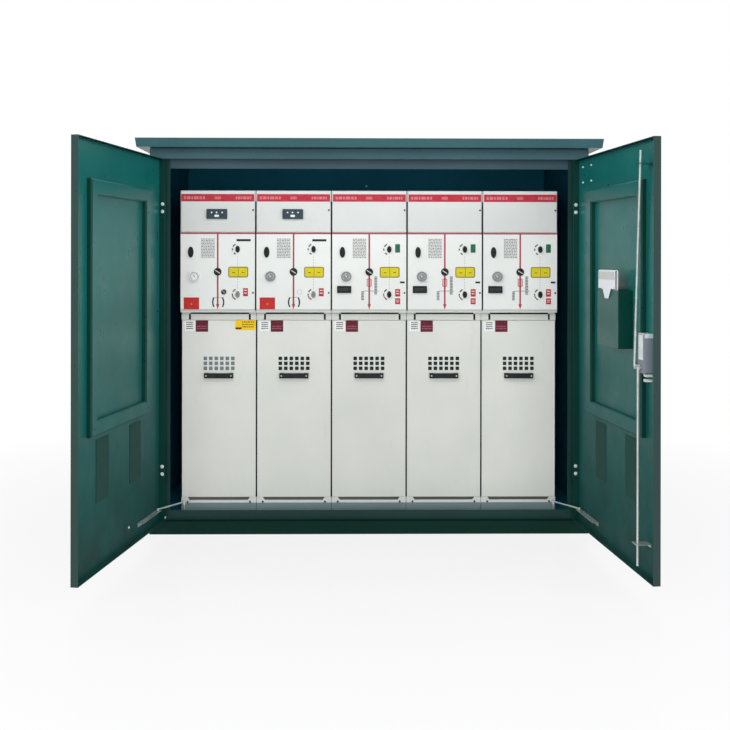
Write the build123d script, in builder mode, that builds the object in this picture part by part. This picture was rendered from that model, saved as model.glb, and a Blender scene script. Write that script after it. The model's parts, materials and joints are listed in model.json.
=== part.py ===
from build123d import *
from math import cos, radians, sin
import os

# Outdoor ring main unit: five switchgear cubicles in a sheet-steel housing.
# Both housing doors stand open on their stays. Millimetres, +Z up, front towards -Y,
# origin at the middle of the base's underside.

os.makedirs("parts", exist_ok=True)

# Housing
body_width = 2120
body_depth = 1150
sheet = 2
overrun = 1
base_height = 62
base_flange = 80
base_metal = 6
cross_member_width = 60
cross_member_count = 3
cross_member_spacing = 530
anchor_radius = 9
anchor_edge = 24
floor_thickness = 4
wall_thickness = 3
wall_top = 1862
post_width = 40
post_depth = 64
frieze_bottom = 1811
frieze_shadow = 2
rebate_depth = 36
lip_thickness = 3
jamb_lip_reach = 53
lintel_drop = 45
sill_rise = 46
frame_flange = 22

# Roof
roof_overhang = 60
fascia_height = 43
fascia_lean = 6
roof_rise = 40
roof_hip = 420
roof_sheet = 3
roof_bearing = 12

# Door leaves, measured from the hinge axis along the leaf
hinge_inset = 2
hinge_stand = 5
leaf_side_gap = 5
leaf_middle_gap = 6
leaf_end_gap = 5
leaf_depth = 30
left_open_angle = 98.6
right_open_angle = 95.3

# Louvres in the leaves, with a dust screen behind each group
louvre_width = 120
louvre_height = 20
louvre_depth = 10
louvre_pitch = 32
louvre_rows = 8
louvre_bottom = 340
louvre_shift = 8
louvre_spacing = 378
screen_margin = 8
screen_metal = 2

# Folded stiffener on the inside of each leaf
stiffener_hinge_margin = 177
stiffener_free_margin = 147
stiffener_height = 1035
stiffener_bottom = 615
stiffener_member = 60
stiffener_depth = 22
stiffener_bevel = 6

# Lift-off hinges
hinge_heights = (312, 1573)
hinge_plate_height = 76
hinge_plate_metal = 2
barrel_radius = 5
barrel_gap = 0.5
barrel_clearance = 1.5
pin_radius = 2.5
pin_play = 0.3

# Door stays
stay_pivot_inset = 113
stay_pivot_behind_front = 75
stay_radius = 4
stay_height = 138
stay_eye_radius = 9
stay_eye_height = 10
stay_play = 0.5
stay_foot_radius = 11
stay_foot_height = 5
stay_tip_radius = 6
stay_tip_height = 11
stay_tip_along = 62
stay_tip_off_skin = 14
rail_start = 44
rail_length = 250
rail_metal = 3
rail_width = 27
rail_flange = 18
rail_slot_width = 10
rail_slot_margin = 10
rail_gap = 3

# Rod lock on the right leaf
lock_from_edge = 144
lock_width = 67
lock_below_cam = 22
lock_height = 154
lock_depth = 36
lock_round = 5
cam_from_lock = 10
cam_height = 901
cam_arm = 19
cam_end_radius = 8
cam_metal = 4
cam_gap = 0.3
spindle_radius = 6
spindle_play = 1.5
rod_radius = 5
rod_off_skin = 46
rod_tab_width = 18
rod_tab_height = 24
rod_tab_metal = 5
upper_rod_lean = 65
rod_end_gap = 6
guide_heights = (201, 1706)
guide_width = 50
guide_reach = 60
guide_metal = 3
guide_flange = 12
guide_play = 2

# Handle on the outside of the right leaf
handle_length = 128
handle_width = 22
handle_metal = 9
handle_stand = 16
handle_rest_angle = 60
escutcheon_width = 44
escutcheon_height = 170
escutcheon_metal = 5
escutcheon_round = 12

# Document pocket on the right leaf
pocket_free_gap = 86
pocket_width = 259
pocket_bottom = 958
pocket_height = 242
pocket_depth = 63
card_width = 204
card_metal = 2.5
card_top = 1283
card_foot_gap = 0.3
card_inside_gap = 6
card_front_gap = 2
card_bend_radius = 6
card_flap = 78
card_tongue = 42
card_tongue_root = 98
card_tongue_tip = 40

# Cubicles
cubicle_count = 5
cubicle_side_gap = 122.5
cubicle_gap = 2
cubicle_rear_gap = 116
cubicle_height = 1600
upper_setback = 134
lower_setback = 189
plinth_height = 42
plinth_setback = 4
panel_gap = 4
panel_joint = 2
panel_depth = 18
panel_edge = 3
instrument_door_height = 206
operation_panel_height = 388
operation_bevel = 9
step_height = 8
rail_drop = 46
front_rail_height = 28
front_rail_slot = 10
front_rail_left_tab = 36
front_rail_right_tab = 28
kick_height = 28
kick_notch_margin = 31.5
kick_notch_height = 14
kick_notch_slope = 10
kick_notch_depth = 10
cover_depth = 15
cover_margin = 3
vent_hole = 18
vent_pitch_x = 27.5
vent_pitch_z = 24.8
vent_columns = 6
vent_rows = 3
vent_height = 805
vent_chamber_margin = 9
vent_chamber_depth = 60

# Cover handles
grip_length = 144
grip_height = 25
grip_metal = 8
grip_stand = 26
grip_foot = 20
grip_centre = 745
grip_round = 6

# Devices on the cubicle fronts: place across from the cubicle's middle, drop below its top
gauge_across = -114
gauge_drop = 425
gauge_radius = 25
gauge_height = 14
gauge_rim = 4
gauge_dish = 4
disc_radius = 19
disc_height = 4
disc_drop = 402
socket_across = 99
socket_drops = (290, 514)
socket_width = 21
socket_length = 33
socket_height = 12
socket_bore = 6
socket_bore_depth = 9
socket_round = 2
latch_across = -133
latch_drop = 305
latch_width = 27
latch_height = 54
latch_metal = 6
latch_knob_radius = 9
latch_knob_height = 8
charge_across = -4
charge_drop = 116
charge_width = 102
charge_height = 49
charge_metal = 10
charge_round = 4
charge_cubicles = (0, 1)
counter_across = -124
counter_drop = 489
counter_width = 70
counter_height = 35
counter_metal = 10
counter_window_margin = 8
counter_window_depth = 3

# Places worked out from the sizes above
half_width = body_width / 2
front = -body_depth / 2
back = body_depth / 2
post_inner = half_width - post_width
opening_half = post_inner - jamb_lip_reach
lip_front = front + rebate_depth
sill_top = base_height + sill_rise
lintel_bottom = frieze_bottom - lintel_drop
floor_top = base_height + floor_thickness
hinge_half = post_inner - hinge_inset
hinge_y = front - hinge_stand
leaf_start = leaf_side_gap - hinge_inset
leaf_end = hinge_half - leaf_middle_gap / 2
leaf_width = leaf_end - leaf_start
leaf_centre = (leaf_start + leaf_end) / 2
leaf_bottom = base_height + leaf_end_gap
leaf_top = frieze_bottom - leaf_end_gap
leaf_height = leaf_top - leaf_bottom
skin_inner = hinge_stand + sheet
louvre_middle = leaf_centre + louvre_shift
stiffener_width = leaf_width - stiffener_hinge_margin - stiffener_free_margin
stiffener_middle = leaf_start + stiffener_hinge_margin + stiffener_width / 2
plate_start = barrel_radius + barrel_clearance
plate_end = hinge_stand + leaf_depth
stay_pivot_from_middle = hinge_half - stay_pivot_inset
lock_left = leaf_end - lock_from_edge
lock_bottom = cam_height - lock_below_cam
cam_along = lock_left + cam_from_lock
stiffener_free_edge = stiffener_middle + stiffener_width / 2 - stiffener_member
pocket_middle = stiffener_free_edge - pocket_free_gap - pocket_width / 2
cubicle_top = floor_top + cubicle_height
upper_face = front + upper_setback
lower_face = front + lower_setback
cubicle_back = back - cubicle_rear_gap
cubicle_pitch = (body_width - 2 * cubicle_side_gap) / cubicle_count
cubicle_width = cubicle_pitch - cubicle_gap
kick_notch_width = cubicle_width - 2 * kick_notch_margin
plinth_top = floor_top + plinth_height
cover_bottom = plinth_top + kick_height
instrument_bottom = cubicle_top - instrument_door_height
operation_bottom = instrument_bottom - panel_joint - operation_panel_height
rail_bottom = operation_bottom - rail_drop
cover_top = rail_bottom - cover_margin
cubicle_centres = [(number - (cubicle_count - 1) / 2) * cubicle_pitch for number in range(cubicle_count)]


def save(builder, name):
    """Label a finished piece and write it under its own name."""
    builder.part.label = name
    export_step(builder.part, f"parts/{name}.step")


# Base: a ring of channel section with cross members, drilled for anchor bolts
with BuildPart() as base_frame:
    with BuildSketch():
        Rectangle(body_width, body_depth)
        Rectangle(body_width - 2 * base_flange, body_depth - 2 * base_flange, mode=Mode.SUBTRACT)
    extrude(amount=base_height)
    with BuildSketch(Plane.XY.offset(base_metal)):
        Rectangle(body_width - 2 * base_metal, body_depth - 2 * base_metal)
    extrude(amount=base_height - 2 * base_metal, mode=Mode.SUBTRACT)
    with BuildSketch():
        with GridLocations(cross_member_spacing, 0, cross_member_count, 1):
            Rectangle(cross_member_width, body_depth - 2 * base_metal)
    extrude(amount=base_height)
    with BuildSketch():
        with GridLocations(body_width - 2 * anchor_edge, body_depth - 2 * anchor_edge, 2, 2):
            Circle(anchor_radius)
    extrude(amount=base_metal, mode=Mode.SUBTRACT)
save(base_frame, "base_frame")

with BuildPart() as floor_plate:
    floor_front = lip_front + frame_flange + lip_thickness
    with BuildSketch(Plane.XY.offset(base_height)):
        with Locations((0, (floor_front + back - wall_thickness) / 2)):
            Rectangle(body_width - 2 * wall_thickness, back - wall_thickness - floor_front)
        with GridLocations(2 * half_width - post_width, 0, 2, 1):
            with Locations((0, front + post_depth / 2)):
                Rectangle(post_width + 2 * overrun, post_depth + 2 * overrun, mode=Mode.SUBTRACT)
    extrude(amount=floor_thickness)
save(floor_plate, "floor_plate")


def build_post(side, name):
    """Corner post of folded tube with the jamb lip that the leaf closes on."""
    with BuildPart() as post:
        with BuildSketch(Plane.XY.offset(base_height)):
            with Locations((side * (half_width - post_width / 2), front + post_depth / 2)):
                Rectangle(post_width, post_depth)
                Rectangle(post_width - 2 * sheet, post_depth - 2 * sheet, mode=Mode.SUBTRACT)
            with Locations((side * (opening_half + jamb_lip_reach / 2), lip_front + lip_thickness / 2)):
                Rectangle(jamb_lip_reach, lip_thickness)
        extrude(amount=frieze_bottom - base_height)
    save(post, name)


build_post(-1, "left_post")
build_post(1, "right_post")

# Head of the opening: a channel across the front, and the lip that hangs from it
with BuildPart() as frieze:
    with BuildSketch(Plane.YZ.offset(-half_width)):
        with Locations((front, frieze_bottom)):
            Rectangle(post_depth, wall_top - frieze_shadow - frieze_bottom, align=(Align.MIN, Align.MIN))
        with Locations((front + sheet, frieze_bottom + sheet)):
            Rectangle(
                post_depth,
                wall_top - frieze_shadow - frieze_bottom - 2 * sheet,
                align=(Align.MIN, Align.MIN),
                mode=Mode.SUBTRACT,
            )
    extrude(amount=body_width)
save(frieze, "frieze")

with BuildPart() as lintel:
    with BuildSketch(Plane.YZ.offset(-opening_half)):
        with Locations((lip_front, lintel_bottom)):
            Rectangle(lip_thickness, lintel_drop, align=(Align.MIN, Align.MIN))
        with Locations((lip_front, frieze_bottom)):
            Rectangle(lip_thickness + frame_flange, lip_thickness, align=(Align.MIN, Align.MAX))
    extrude(amount=2 * opening_half)
save(lintel, "lintel")

with BuildPart() as sill:
    with BuildSketch(Plane.YZ.offset(-opening_half)):
        with Locations((lip_front, base_height)):
            Rectangle(lip_thickness, sill_rise, align=(Align.MIN, Align.MIN))
            Rectangle(lip_thickness + frame_flange, lip_thickness, align=(Align.MIN, Align.MIN))
    extrude(amount=2 * opening_half)
save(sill, "sill")


def build_side_wall(side, name):
    """Side wall of plain sheet between the corner post and the back."""
    wall_front = front + post_depth
    with BuildPart() as wall:
        with BuildSketch(Plane.XY.offset(base_height)):
            with Locations((side * (half_width - wall_thickness / 2), (wall_front + back) / 2)):
                Rectangle(wall_thickness, back - wall_front)
        extrude(amount=wall_top - base_height)
    save(wall, name)


build_side_wall(-1, "left_wall")
build_side_wall(1, "right_wall")

with BuildPart() as back_wall:
    with BuildSketch(Plane.XY.offset(base_height)):
        with Locations((0, back - wall_thickness / 2)):
            Rectangle(body_width - 2 * wall_thickness, wall_thickness)
    extrude(amount=wall_top - base_height)
save(back_wall, "back_wall")

# Roof: an upright fascia that leans out a little, under a shallow hipped top
with BuildPart() as roof:
    roof_width = body_width + 2 * roof_overhang
    roof_depth = body_depth + 2 * roof_overhang
    with BuildSketch(Plane.XY.offset(wall_top)):
        Rectangle(roof_width - 2 * fascia_lean, roof_depth - 2 * fascia_lean)
    with BuildSketch(Plane.XY.offset(wall_top + fascia_height)):
        Rectangle(roof_width, roof_depth)
    loft()
    with BuildSketch(Plane.XY.offset(wall_top + fascia_height)):
        Rectangle(roof_width, roof_depth)
    with BuildSketch(Plane.XY.offset(wall_top + fascia_height + roof_rise)):
        Rectangle(roof_width - 2 * roof_hip, roof_depth - 2 * roof_hip)
    loft()
    with BuildSketch(Plane.XY.offset(wall_top)):
        Rectangle(body_width - 2 * roof_bearing, body_depth - 2 * roof_bearing)
    extrude(amount=fascia_height - roof_sheet, mode=Mode.SUBTRACT)
save(roof, "roof")


# Door leaves. A leaf's plane stands on its hinge axis: x along the leaf, y into the cabinet, z up
def leaf_plane(side, open_angle):
    turn = radians(open_angle)
    return Plane(
        origin=(side * hinge_half, hinge_y, 0),
        x_dir=(cos(turn), side * sin(turn), 0),
        z_dir=(0, 0, 1),
    )


def face_plane(leaf, depth):
    """Plane parallel to a leaf at a depth behind its hinge axis, facing outwards."""
    return Plane(leaf.from_local_coords((0, depth, 0)), x_dir=leaf.x_dir, z_dir=-leaf.y_dir)


def section_plane(leaf, along):
    """Plane across a leaf, with its own x into the cabinet and its y up."""
    return Plane(leaf.from_local_coords((along, 0, 0)), x_dir=leaf.y_dir, z_dir=leaf.x_dir)


def level_plane(leaf, height):
    """Level plane over a leaf at a height, with the leaf's own x and y."""
    return Plane(leaf.from_local_coords((0, 0, height)), x_dir=leaf.x_dir, z_dir=leaf.z_dir)


left_leaf = leaf_plane(-1, left_open_angle)
right_leaf = leaf_plane(1, right_open_angle)


louvre_feet = [louvre_bottom + row * louvre_pitch for row in range(louvre_rows)]


def louvre_outline(foot):
    """Outline of one pressed louvre: a hood that slopes out from the skin and opens downwards."""
    Polyline(
        (hinge_stand, foot + louvre_height),
        (hinge_stand - louvre_depth, foot),
        (hinge_stand, foot),
        close=True,
    )


def louvre_hollow(foot):
    """Outline of the space under a hood, through the skin behind it."""
    inside = skin_inner + overrun
    Polyline(
        (hinge_stand - louvre_depth + sheet, foot),
        (inside, foot + louvre_height * (louvre_depth + overrun) / louvre_depth),
        (inside, foot),
        close=True,
    )


def build_leaf(side, leaf, name, spindle_bore):
    """Pan-shaped leaf: an outer skin with folded returns, and two groups of louvres."""
    with BuildPart() as pan:
        with BuildSketch(face_plane(leaf, hinge_stand)):
            with Locations((-side * leaf_centre, leaf_bottom + leaf_height / 2)):
                Rectangle(leaf_width, leaf_height)
        extrude(amount=-leaf_depth)
        open_side = pan.faces().sort_by(Axis(leaf.origin, leaf.y_dir))[-1]
        offset(amount=-sheet, openings=open_side)
        for shift in (-louvre_spacing / 2, louvre_spacing / 2):
            start = section_plane(leaf, -side * (louvre_middle + shift) - louvre_width / 2)
            with BuildSketch(start):
                for foot in louvre_feet:
                    with BuildLine():
                        louvre_outline(foot)
                    make_face()
            extrude(amount=louvre_width)
            with BuildSketch(start.offset(sheet)):
                for foot in louvre_feet:
                    with BuildLine():
                        louvre_hollow(foot)
                    make_face()
            extrude(amount=louvre_width - 2 * sheet, mode=Mode.SUBTRACT)
        if spindle_bore:
            with BuildSketch(face_plane(leaf, hinge_stand)):
                with Locations((-side * cam_along, cam_height)):
                    Circle(spindle_radius + spindle_play)
            extrude(amount=-sheet, mode=Mode.SUBTRACT)
    save(pan, name)


def build_stiffener(side, leaf, name):
    """Ring of folded section fixed to the inside of the skin."""
    with BuildPart() as ring:
        with BuildSketch(face_plane(leaf, skin_inner)):
            with Locations((-side * stiffener_middle, stiffener_bottom + stiffener_height / 2)):
                Rectangle(stiffener_width, stiffener_height)
                Rectangle(
                    stiffener_width - 2 * stiffener_member,
                    stiffener_height - 2 * stiffener_member,
                    mode=Mode.SUBTRACT,
                )
        extrude(amount=-stiffener_depth)
        crown = ring.faces().sort_by(Axis(leaf.origin, leaf.y_dir))[-1]
        chamfer(crown.edges(), stiffener_bevel)
    save(ring, name)


def build_screens(side, leaf, name):
    """Flat dust screens on the inside of the skin, one over each group of louvres."""
    screen_width = louvre_width + 2 * screen_margin
    screen_bottom = louvre_feet[0] - screen_margin
    screen_top = louvre_feet[-1] + louvre_height + screen_margin
    with BuildPart() as screens:
        with BuildSketch(face_plane(leaf, skin_inner)):
            with Locations((-side * louvre_middle, (screen_bottom + screen_top) / 2)):
                with GridLocations(louvre_spacing, 0, 2, 1):
                    Rectangle(screen_width, screen_top - screen_bottom)
        extrude(amount=-screen_metal)
    save(screens, name)


build_leaf(-1, left_leaf, "left_door", False)
build_leaf(1, right_leaf, "right_door", True)
build_stiffener(-1, left_leaf, "left_door_stiffener")
build_stiffener(1, right_leaf, "right_door_stiffener")
build_screens(-1, left_leaf, "left_door_screens")
build_screens(1, right_leaf, "right_door_screens")


# Lift-off hinges: the lower knuckle with its pin is on the post's plate, the upper one on the leaf's
def build_leaf_hinges(side, leaf, name):
    plate_middle = -side * (leaf_start - hinge_plate_metal / 2)
    with BuildPart() as halves:
        for height in hinge_heights:
            with BuildSketch(level_plane(leaf, height - hinge_plate_height / 2)):
                with Locations((plate_middle, (plate_start + plate_end) / 2)):
                    Rectangle(hinge_plate_metal, plate_end - plate_start)
            extrude(amount=hinge_plate_height)
            with BuildSketch(level_plane(leaf, height + barrel_gap)):
                Circle(barrel_radius)
                with Locations((plate_middle, plate_start / 2)):
                    Rectangle(hinge_plate_metal, plate_start)
                Circle(pin_radius + pin_play, mode=Mode.SUBTRACT)
            extrude(amount=hinge_plate_height / 2 - barrel_gap)
    save(halves, name)


build_leaf_hinges(-1, left_leaf, "left_door_hinges")
build_leaf_hinges(1, right_leaf, "right_door_hinges")

with BuildPart() as frame_hinges:
    for side in (-1, 1):
        plate_middle = side * (hinge_half + hinge_plate_metal / 2)
        for height in hinge_heights:
            with BuildSketch(Plane.XY.offset(height - hinge_plate_height / 2)):
                with Locations((plate_middle, hinge_y + (plate_start + plate_end) / 2)):
                    Rectangle(hinge_plate_metal, plate_end - plate_start)
            extrude(amount=hinge_plate_height)
            with BuildSketch(Plane.XY.offset(height - hinge_plate_height / 2)):
                with Locations((side * hinge_half, hinge_y)):
                    Circle(barrel_radius)
                with Locations((plate_middle, hinge_y + plate_start / 2)):
                    Rectangle(hinge_plate_metal, plate_start)
            extrude(amount=hinge_plate_height / 2)
            with BuildSketch(Plane.XY.offset(height)):
                with Locations((side * hinge_half, hinge_y)):
                    Circle(pin_radius)
            extrude(amount=hinge_plate_height / 2)
save(frame_hinges, "frame_hinges")


# Door stays: a rod turns on a stud behind the sill, and its tip runs over a slotted rail on the leaf
rail_top = stay_height - stay_radius - rail_gap


def build_stay_rail(side, leaf, name):
    with BuildPart() as rail:
        middle = -side * (rail_start + rail_length / 2)
        with BuildSketch(section_plane(leaf, middle - rail_length / 2)):
            with Locations((skin_inner, rail_top)):
                Rectangle(rail_width, rail_metal, align=(Align.MIN, Align.MAX))
                Rectangle(rail_metal, rail_flange, align=(Align.MIN, Align.MAX))
        extrude(amount=rail_length)
        with BuildSketch(level_plane(leaf, rail_top)):
            with Locations((middle, skin_inner + stay_tip_off_skin)):
                SlotOverall(rail_length - 2 * rail_slot_margin, rail_slot_width)
        extrude(amount=-rail_metal, mode=Mode.SUBTRACT)
    save(rail, name)


build_stay_rail(-1, left_leaf, "left_stay_rail")
build_stay_rail(1, right_leaf, "right_stay_rail")


def build_stay(side, leaf, name):
    pivot = Vector(side * stay_pivot_from_middle, front + stay_pivot_behind_front, stay_height)
    tip = leaf.from_local_coords((-side * stay_tip_along, skin_inner + stay_tip_off_skin, stay_height))
    reach = tip - pivot
    rod_plane = Plane(pivot, x_dir=(0, 0, 1), z_dir=reach)
    with BuildPart() as stay:
        with BuildSketch(Plane.XY.offset(stay_height - stay_eye_height / 2)):
            with Locations((pivot.X, pivot.Y)):
                Circle(stay_eye_radius)
        extrude(amount=stay_eye_height)
        with BuildSketch(rod_plane):
            Circle(stay_radius)
        extrude(amount=reach.length)
        with BuildSketch(Plane.XY.offset(stay_height - stay_tip_height / 2)):
            with Locations((tip.X, tip.Y)):
                Circle(stay_tip_radius)
        extrude(amount=stay_tip_height)
        with BuildSketch(Plane.XY.offset(stay_height - stay_eye_height / 2)):
            with Locations((pivot.X, pivot.Y)):
                Circle(stay_radius + stay_play)
        extrude(amount=stay_eye_height, mode=Mode.SUBTRACT)
    save(stay, name)


build_stay(-1, left_leaf, "left_stay")
build_stay(1, right_leaf, "right_stay")

with BuildPart() as stay_studs:
    stud_top = stay_height + stay_eye_height
    with BuildSketch(Plane.XY.offset(floor_top)):
        with Locations((0, front + stay_pivot_behind_front)):
            with GridLocations(2 * stay_pivot_from_middle, 0, 2, 1):
                Circle(stay_radius)
    extrude(amount=stud_top - floor_top)
    with BuildSketch(Plane.XY.offset(floor_top)):
        with Locations((0, front + stay_pivot_behind_front)):
            with GridLocations(2 * stay_pivot_from_middle, 0, 2, 1):
                Circle(stay_foot_radius)
    extrude(amount=stay_foot_height)
    with BuildSketch(Plane.XY.offset(stay_height - stay_eye_height / 2 - stay_play)):
        with Locations((0, front + stay_pivot_behind_front)):
            with GridLocations(2 * stay_pivot_from_middle, 0, 2, 1):
                Circle(stay_eye_radius)
    extrude(amount=-stay_foot_height)
save(stay_studs, "stay_studs")


# Rod lock: a case on the leaf, a cam that turns on a spindle, and two rods that shoot up and down
lock_face = skin_inner + lock_depth
cam_back = lock_face + cam_gap
rod_axis = skin_inner + rod_off_skin
upper_rod_foot = cam_along - cam_arm
lower_rod_along = cam_along + cam_arm
upper_rod_top = lintel_bottom - rod_end_gap
lower_rod_bottom = sill_top + rod_end_gap

with BuildPart() as lock_box:
    with BuildSketch(face_plane(right_leaf, skin_inner)):
        with Locations((-(lock_left + lock_width / 2), lock_bottom + lock_height / 2)):
            RectangleRounded(lock_width, lock_height, lock_round)
        with Locations((-cam_along, cam_height)):
            Circle(spindle_radius + spindle_play, mode=Mode.SUBTRACT)
    extrude(amount=-lock_depth)
save(lock_box, "lock_box")

with BuildPart() as lock_cam:
    with BuildSketch(face_plane(right_leaf, cam_back)):
        with Locations((-cam_along, cam_height)):
            SlotCenterToCenter(2 * cam_arm, 2 * cam_end_radius)
    extrude(amount=-cam_metal)
    with BuildSketch(face_plane(right_leaf, hinge_stand - escutcheon_metal - handle_stand)):
        with Locations((-cam_along, cam_height)):
            Circle(spindle_radius)
    extrude(amount=-(cam_back - hinge_stand + escutcheon_metal + handle_stand))
save(lock_cam, "lock_cam")


def build_rod(foot, tip, name):
    """Lock rod between two places on the leaf, with a flat tab at the cam end."""
    start = right_leaf.from_local_coords(foot)
    end = right_leaf.from_local_coords(tip)
    with BuildPart() as rod:
        with BuildSketch(Plane(start, z_dir=end - start)):
            Circle(rod_radius)
        extrude(amount=(end - start).length)
        with BuildSketch(face_plane(right_leaf, cam_back + cam_metal + cam_gap)):
            with Locations((foot[0], foot[2])):
                RectangleRounded(rod_tab_width, rod_tab_height, cam_end_radius)
        extrude(amount=-rod_tab_metal)
    save(rod, name)


build_rod(
    (-upper_rod_foot, rod_axis, cam_height),
    (-(upper_rod_foot + upper_rod_lean), rod_axis, upper_rod_top),
    "upper_rod",
)
build_rod(
    (-lower_rod_along, rod_axis, cam_height),
    (-lower_rod_along, rod_axis, lower_rod_bottom),
    "lower_rod",
)

with BuildPart() as rod_guides:
    lean_share = (guide_heights[1] - cam_height) / (upper_rod_top - cam_height)
    guide_places = (lower_rod_along, upper_rod_foot + upper_rod_lean * lean_share)
    for along, height in zip(guide_places, guide_heights):
        with BuildSketch(section_plane(right_leaf, -along - guide_width / 2)):
            with Locations((skin_inner, height + guide_metal)):
                Rectangle(guide_reach, guide_metal, align=(Align.MIN, Align.MAX))
                Rectangle(guide_metal, guide_flange, align=(Align.MIN, Align.MAX))
        extrude(amount=guide_width)
        with BuildSketch(level_plane(right_leaf, height)):
            with Locations((-along, rod_axis)):
                Circle(rod_radius + guide_play)
        extrude(amount=guide_metal, mode=Mode.SUBTRACT)
save(rod_guides, "rod_guides")

# Outside handle, which turns with the cam, and the plate that it turns on
with BuildPart() as escutcheon:
    with BuildSketch(face_plane(right_leaf, hinge_stand)):
        with Locations((-cam_along, cam_height)):
            RectangleRounded(escutcheon_width, escutcheon_height, escutcheon_round)
            Circle(spindle_radius + spindle_play, mode=Mode.SUBTRACT)
    extrude(amount=escutcheon_metal)
save(escutcheon, "escutcheon")

with BuildPart() as door_handle:
    lever_middle = (handle_length - handle_width) / 2
    with BuildSketch(face_plane(right_leaf, hinge_stand - escutcheon_metal - handle_stand)):
        with Locations(Location((-cam_along, cam_height), 90 - handle_rest_angle)):
            with Locations((lever_middle, 0)):
                SlotOverall(handle_length, handle_width)
    extrude(amount=handle_metal)
    lever_front = door_handle.faces().sort_by(Axis(right_leaf.origin, right_leaf.y_dir))[0]
    chamfer(lever_front.edges(), handle_metal / 3)
save(door_handle, "door_handle")

# Document pocket with its folded card
with BuildPart() as document_pocket:
    with BuildSketch(face_plane(right_leaf, skin_inner)):
        with Locations((-pocket_middle, pocket_bottom + pocket_height / 2)):
            Rectangle(pocket_width, pocket_height)
    extrude(amount=-pocket_depth)
    offset(amount=-sheet, openings=document_pocket.faces().sort_by(Axis.Z)[-1])
save(document_pocket, "document_pocket")

with BuildPart() as document_card:
    card_back = skin_inner + pocket_depth - sheet - card_inside_gap
    card_front = skin_inner + pocket_depth + card_front_gap + card_metal
    card_foot = pocket_bottom + sheet + card_foot_gap
    card_end = card_top - card_flap - card_tongue
    with BuildSketch(section_plane(right_leaf, -pocket_middle - card_width / 2)):
        with BuildLine() as card_line:
            FilletPolyline(
                (card_back, card_foot),
                (card_back, card_top),
                (card_front, card_top),
                (card_front, card_end),
                radius=card_bend_radius,
            )
        trace(card_line.line, card_metal)
    extrude(amount=card_width)
    with BuildSketch(face_plane(right_leaf, card_front + card_metal)):
        with Locations((-pocket_middle, card_end)):
            Polygon(
                (card_tongue_root / 2, card_tongue),
                (card_tongue_tip / 2, -overrun),
                (card_width, -overrun),
                (card_width, card_tongue),
                align=None,
            )
            Polygon(
                (-card_tongue_root / 2, card_tongue),
                (-card_width, card_tongue),
                (-card_width, -overrun),
                (-card_tongue_tip / 2, -overrun),
                align=None,
            )
    extrude(amount=2 * card_metal, mode=Mode.SUBTRACT)
save(document_card, "document_card")


# Cubicles
with BuildPart() as plinths:
    with BuildSketch(Plane.XY.offset(floor_top)):
        with Locations((0, (lower_face + plinth_setback + cubicle_back) / 2)):
            with GridLocations(cubicle_pitch, 0, cubicle_count, 1):
                Rectangle(cubicle_width, cubicle_back - lower_face - plinth_setback)
    extrude(amount=plinth_height)
save(plinths, "plinths")


def build_cubicle(centre, name):
    """Cubicle case: the mechanism housing stands out over the cable compartment."""
    body_front = lower_face + cover_depth
    head_front = upper_face + panel_depth
    with BuildPart() as case:
        with BuildSketch(Plane.YZ.offset(centre - cubicle_width / 2)):
            with BuildLine():
                Polyline(
                    (cubicle_back, plinth_top),
                    (lower_face, plinth_top),
                    (lower_face, cover_bottom),
                    (body_front, cover_bottom),
                    (body_front, rail_bottom),
                    (lower_face, rail_bottom),
                    (lower_face, rail_bottom + front_rail_height),
                    (body_front, rail_bottom + front_rail_height),
                    (body_front, operation_bottom - step_height),
                    (head_front, operation_bottom - step_height),
                    (head_front, cubicle_top),
                    (cubicle_back, cubicle_top),
                    close=True,
                )
            make_face()
        extrude(amount=cubicle_width)
        with BuildSketch(Plane.XZ.offset(-lower_face)):
            with Locations((centre, cover_bottom)):
                Polygon(
                    (-kick_notch_width / 2 + kick_notch_slope, -kick_notch_height),
                    (kick_notch_width / 2 - kick_notch_slope, -kick_notch_height),
                    (kick_notch_width / 2, 0),
                    (-kick_notch_width / 2, 0),
                    align=None,
                )
        extrude(amount=-kick_notch_depth, mode=Mode.SUBTRACT)
        left_slot = front_rail_left_tab + front_rail_slot / 2 - cubicle_width / 2
        right_slot = cubicle_width / 2 - front_rail_right_tab - front_rail_slot / 2
        with BuildSketch(Plane.XZ.offset(-lower_face)):
            for across in (left_slot, right_slot):
                with Locations((centre + across, rail_bottom + front_rail_height / 2)):
                    Rectangle(front_rail_slot, front_rail_height)
        extrude(amount=-cover_depth, mode=Mode.SUBTRACT)
        with BuildSketch(Plane.XZ.offset(-body_front)):
            with Locations((centre, vent_height)):
                Rectangle(
                    vent_columns * vent_pitch_x + vent_chamber_margin,
                    vent_rows * vent_pitch_z + vent_chamber_margin,
                )
        extrude(amount=-vent_chamber_depth, mode=Mode.SUBTRACT)
    save(case, name)


def build_lower_cover(centre, name):
    """Lift-off cover of the cable compartment, folded at its edges and perforated."""
    with BuildPart() as cover:
        with BuildSketch(Plane.XZ.offset(-lower_face)):
            with Locations((centre, (cover_bottom + cover_top) / 2)):
                Rectangle(cubicle_width - 2 * cover_margin, cover_top - cover_bottom - 2 * overrun)
        extrude(amount=-cover_depth)
        offset(amount=-sheet, openings=cover.faces().sort_by(Axis.Y)[-1])
        with BuildSketch(Plane.XZ.offset(-lower_face)):
            with Locations((centre, vent_height)):
                with GridLocations(vent_pitch_x, vent_pitch_z, vent_columns, vent_rows):
                    Rectangle(vent_hole, vent_hole)
        extrude(amount=-sheet, mode=Mode.SUBTRACT)
    save(cover, name)


for number, centre in enumerate(cubicle_centres, start=1):
    build_cubicle(centre, f"cubicle_{number}")
    build_lower_cover(centre, f"lower_cover_{number}")

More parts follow.
